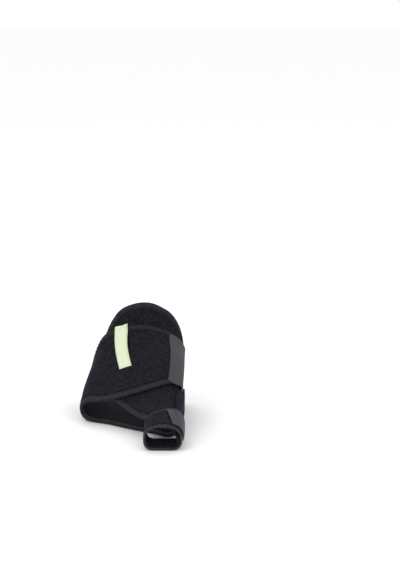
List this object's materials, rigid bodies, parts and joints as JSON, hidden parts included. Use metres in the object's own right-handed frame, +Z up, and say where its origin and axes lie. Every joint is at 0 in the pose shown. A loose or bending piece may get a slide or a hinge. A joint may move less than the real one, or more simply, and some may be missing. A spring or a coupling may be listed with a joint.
{
  "type": "bunion corrector",
  "caption": "Soft brace for a right foot: a padded wrap round ball and instep with a hook tab, a medial pocket and a hook-closed strap round the big toe.",
  "frame": {"origin": "on the outer face of the sole, in line with the instep; Z = 0 is the surface that the brace rests on", "axes": "+Z up, -Y towards the toes, +X towards the medial side of the right foot"},
  "size_m": [0.1008, 0.1691, 0.1043],
  "materials": {
    "pile_fabric": "matte black brushed pile on foam",
    "binding_tape": "matte black stretch tape with a row of stitches",
    "hook_tape": "matte dark grey hook tape",
    "woven_label": "pale green satin weave, bare"
  },
  "bodies": {
    "root": {"wrap_body": "pile_fabric", "body_front_binding": "binding_tape", "body_rear_binding": "binding_tape", "instep_flap": "pile_fabric", "flap_front_binding": "binding_tape", "flap_rear_binding": "binding_tape", "medial_pocket": "pile_fabric", "instep_tab": "hook_tape", "label": "woven_label", "toe_strap": "pile_fabric", "toe_front_binding": "binding_tape", "toe_rear_binding": "binding_tape", "toe_tab": "hook_tape"}
  },
  "joints": []
}
